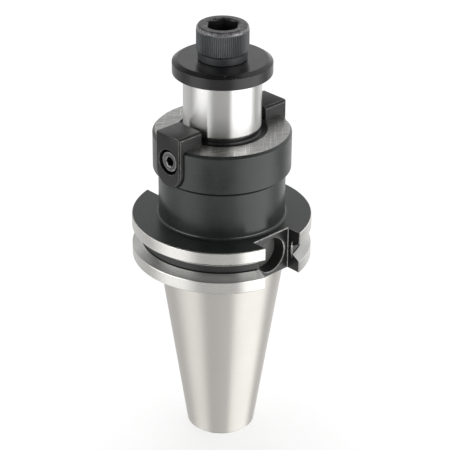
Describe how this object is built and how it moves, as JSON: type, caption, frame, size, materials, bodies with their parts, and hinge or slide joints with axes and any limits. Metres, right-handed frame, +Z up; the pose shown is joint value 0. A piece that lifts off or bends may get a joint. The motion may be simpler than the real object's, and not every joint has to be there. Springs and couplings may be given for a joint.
{
  "type": "shell mill holder",
  "caption": "V-flange steep-taper arbor that centres a face mill on a ground pilot, drives it with two keys and clamps it with a screw and washer.",
  "frame": {"origin": "centre of the gauge line, where the 7/24 taper is 44.45 mm in diameter", "axes": "+Z up the spindle axis from the taper towards the cutter; X through the two drive keys; Y through the two drive slots, -Y through the shallow slot with the round pocket"},
  "size_m": [0.0635, 0.0612, 0.1574],
  "materials": {
    "holder": "black oxide with ground taper, rims, seat face and pilot",
    "washer": "black oxide, satin",
    "lock_screw": "black oxide, knurled head",
    "key": "black oxide, satin",
    "key_screw": "black oxide"
  },
  "bodies": {
    "holder": {"holder_body": "holder"},
    "washer": {"clamp_washer": "washer"},
    "lock_screw": {"lock_screw": "lock_screw"},
    "right_key": {"drive_key_right": "key"},
    "right_key_screw": {"key_screw_right": "key_screw"},
    "left_key": {"drive_key_left": "key"},
    "left_key_screw": {"key_screw_left": "key_screw"}
  },
  "joints": [
    {"name": "washer_lift", "type": "slide", "parent": "holder", "child": "washer", "axis": [0, 0, 1], "range_m": [0, 0.0235]},
    {"name": "lock_screw_turn", "type": "hinge", "parent": "washer", "child": "lock_screw", "pos_m": [0, 0, 0.0771], "axis": [0, 0, 1], "range_deg": [0, 4835.29]},
    {"name": "right_key_out", "type": "slide", "parent": "holder", "child": "right_key", "axis": [1, 0, 0], "range_m": [0, 0.0052]},
    {"name": "right_key_screw_turn", "type": "hinge", "parent": "right_key", "child": "right_key_screw", "pos_m": [0.0198, 0, 0.046], "axis": [1, 0, 0], "range_deg": [0, 2341]},
    {"name": "left_key_out", "type": "slide", "parent": "holder", "child": "left_key", "axis": [-1, 0, 0], "range_m": [0, 0.0052]},
    {"name": "left_key_screw_turn", "type": "hinge", "parent": "left_key", "child": "left_key_screw", "pos_m": [-0.0198, 0, 0.046], "axis": [-1, 0, 0], "range_deg": [0, 2341]}
  ],
  "couplings": [
    {"joint": "lock_screw_turn", "follows": "washer_lift", "rad_per_m": 3590.4},
    {"joint": "right_key_screw_turn", "follows": "right_key_out", "rad_per_m": 7854},
    {"joint": "left_key_screw_turn", "follows": "left_key_out", "rad_per_m": 7854}
  ]
}
